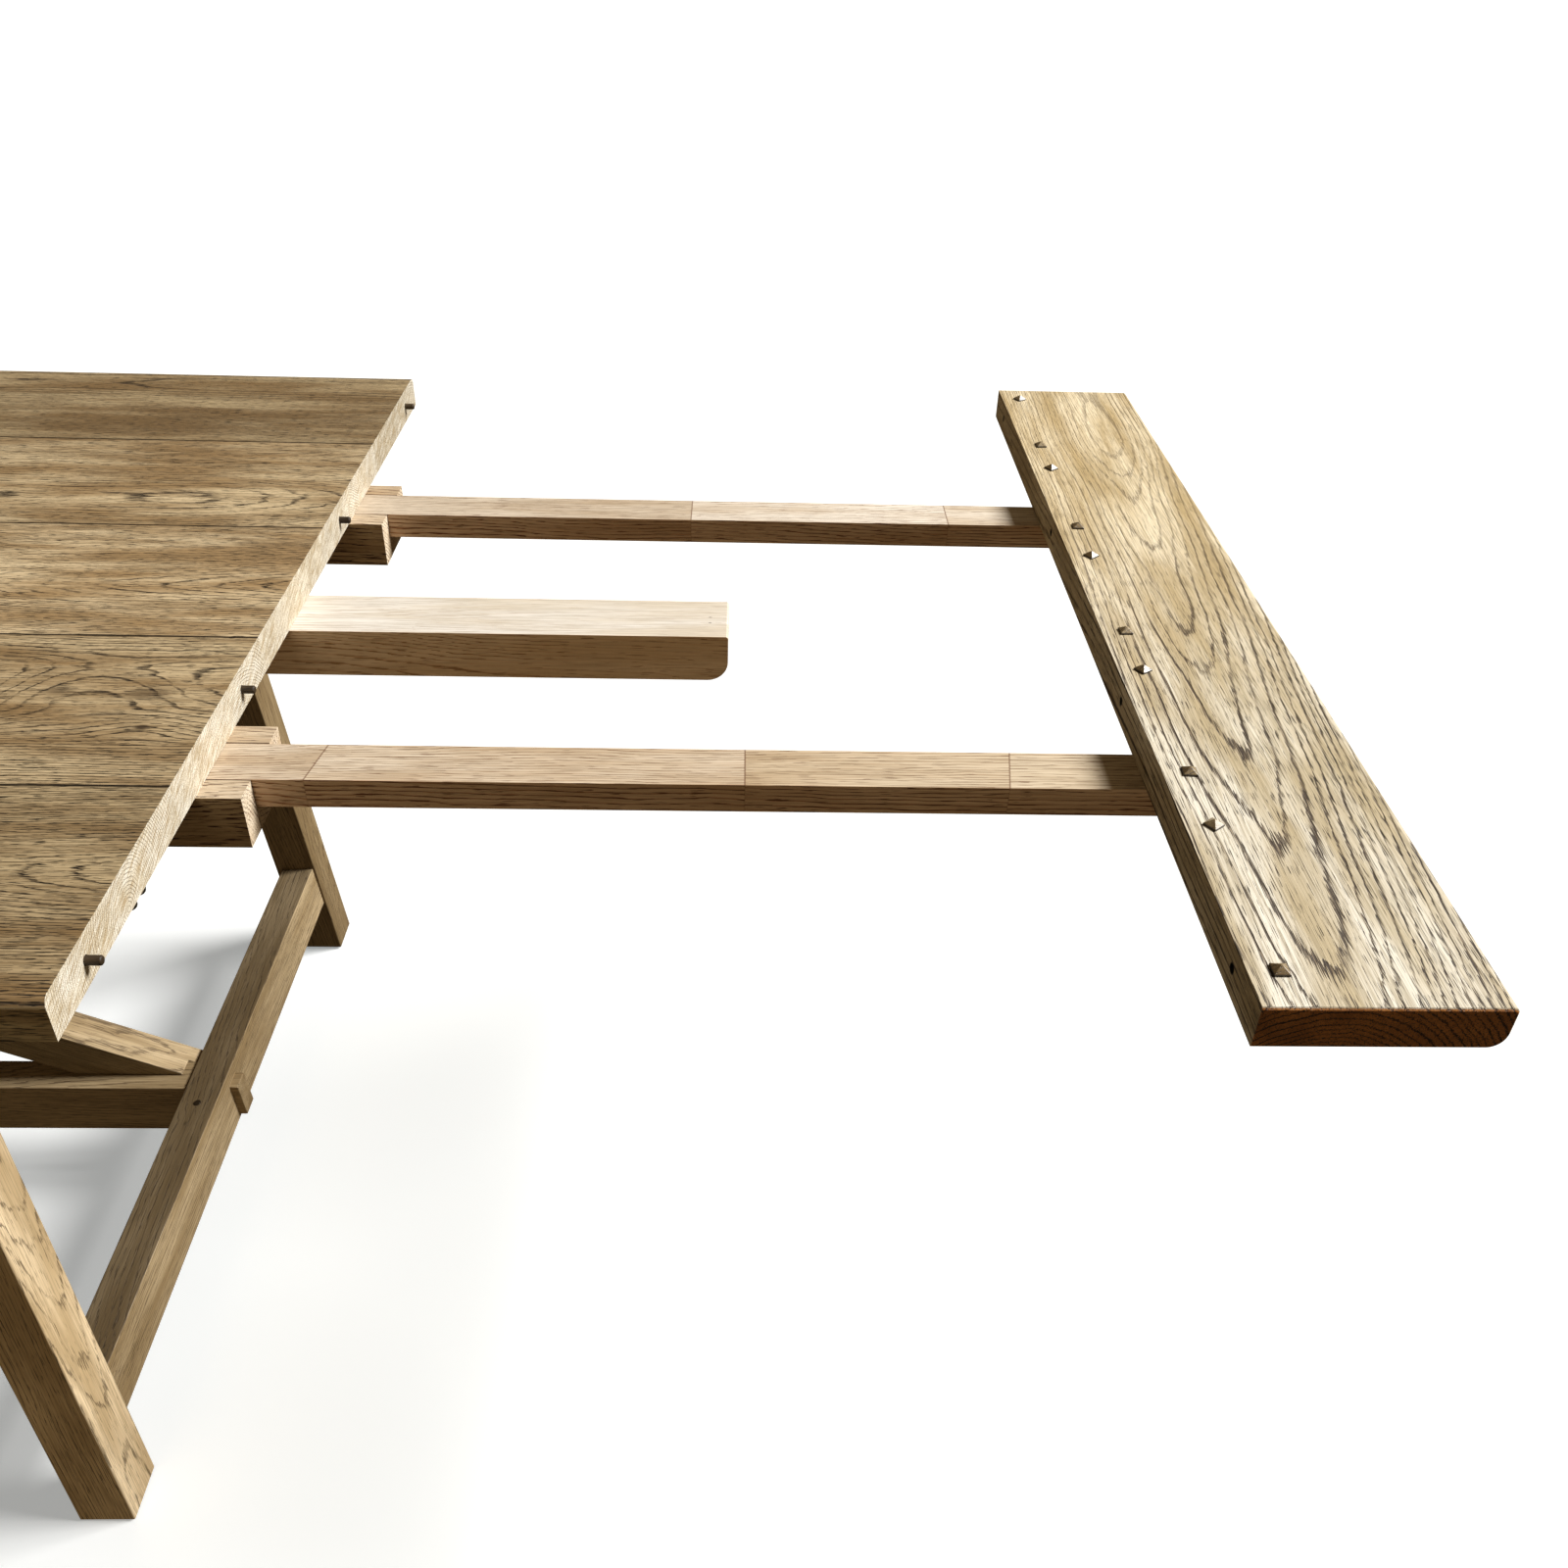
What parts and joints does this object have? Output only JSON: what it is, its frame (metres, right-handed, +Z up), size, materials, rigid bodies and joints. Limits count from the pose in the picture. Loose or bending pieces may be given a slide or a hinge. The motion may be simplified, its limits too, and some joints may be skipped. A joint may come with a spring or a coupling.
{
  "type": "extendable dining table",
  "caption": "Extendable oak trestle dining table with splayed legs, crossing braces, end boards that draw out on slide rails, and pull-out arms that support a leaf.",
  "frame": {"origin": "on the floor under the middle of the table", "axes": "+X along the table towards the end seen in the picture, +Y across it to the far side, +Z up"},
  "size_m": [3.494, 1.016, 0.755],
  "materials": {
    "top_oak": "wire-brushed oil finish",
    "end_oak": "wire-brushed oil finish",
    "rail_oak": "raw planed oak",
    "arm_oak": "raw planed oak",
    "channel_oak": "raw planed oak",
    "frame_oak": "oil finish",
    "peg_oak": "oil finish",
    "dowel_wood": "dark stained hardwood",
    "glide_plastic": "matte",
    "screw_steel": "zinc plated"
  },
  "bodies": {
    "frame": {"arm_guide_left_far": "channel_oak", "arm_guide_left_near": "channel_oak", "arm_guide_right_far": "channel_oak", "arm_guide_right_near": "channel_oak", "arm_keeper_left_inner": "channel_oak", "arm_keeper_left_outer": "channel_oak", "arm_keeper_right_inner": "channel_oak", "arm_keeper_right_outer": "channel_oak", "bearer_screws": "screw_steel", "brace_left": "frame_oak", "brace_right": "frame_oak", "catch_screws": "screw_steel", "centre_batten": "channel_oak", "cross_stretcher_left": "frame_oak", "cross_stretcher_right": "frame_oak", "foot_glides": "glide_plastic", "frame_pegs": "peg_oak", "leg_left_far": "frame_oak", "leg_left_near": "frame_oak", "leg_right_far": "frame_oak", "leg_right_near": "frame_oak", "locating_dowels_left": "dowel_wood", "locating_dowels_right": "dowel_wood", "long_stretcher": "frame_oak", "mid_bearer_left": "channel_oak", "mid_bearer_right": "channel_oak", "slide_cheek_left_far_inner": "channel_oak", "slide_cheek_left_far_outer": "channel_oak", "slide_cheek_left_near_inner": "channel_oak", "slide_cheek_left_near_outer": "channel_oak", "slide_cheek_right_far_inner": "channel_oak", "slide_cheek_right_far_outer": "channel_oak", "slide_cheek_right_near_inner": "channel_oak", "slide_cheek_right_near_outer": "channel_oak", "slide_floor_left_far": "channel_oak", "slide_floor_left_near": "channel_oak", "slide_floor_right_far": "channel_oak", "slide_floor_right_near": "channel_oak", "stop_pins": "dowel_wood", "top_board_1": "top_oak", "top_board_2": "top_oak", "top_board_3": "top_oak", "top_board_4": "top_oak", "top_board_5": "top_oak", "top_screws": "screw_steel", "trestle_head_left": "frame_oak", "trestle_head_right": "frame_oak"},
    "right_extension": {"end_board_right": "end_oak", "rail_screws_right": "screw_steel", "slide_rail_right_far": "rail_oak", "slide_rail_right_near": "rail_oak", "square_pegs_right": "peg_oak"},
    "left_extension": {"end_board_left": "end_oak", "rail_screws_left": "screw_steel", "slide_rail_left_far": "rail_oak", "slide_rail_left_near": "rail_oak", "square_pegs_left": "peg_oak"},
    "right_support": {"support_arm_right": "arm_oak"},
    "left_support": {"support_arm_left": "arm_oak"}
  },
  "joints": [
    {"name": "right_extension_slide", "type": "slide", "parent": "frame", "child": "right_extension", "axis": [1, 0, 0], "range_m": [-0.6796, 0]},
    {"name": "left_extension_slide", "type": "slide", "parent": "frame", "child": "left_extension", "axis": [-1, 0, 0], "range_m": [-0.6796, 0]},
    {"name": "right_support_slide", "type": "slide", "parent": "frame", "child": "right_support", "axis": [1, 0, 0], "range_m": [-0.25, 0]},
    {"name": "left_support_slide", "type": "slide", "parent": "frame", "child": "left_support", "axis": [-1, 0, 0], "range_m": [-0.25, 0]}
  ]
}
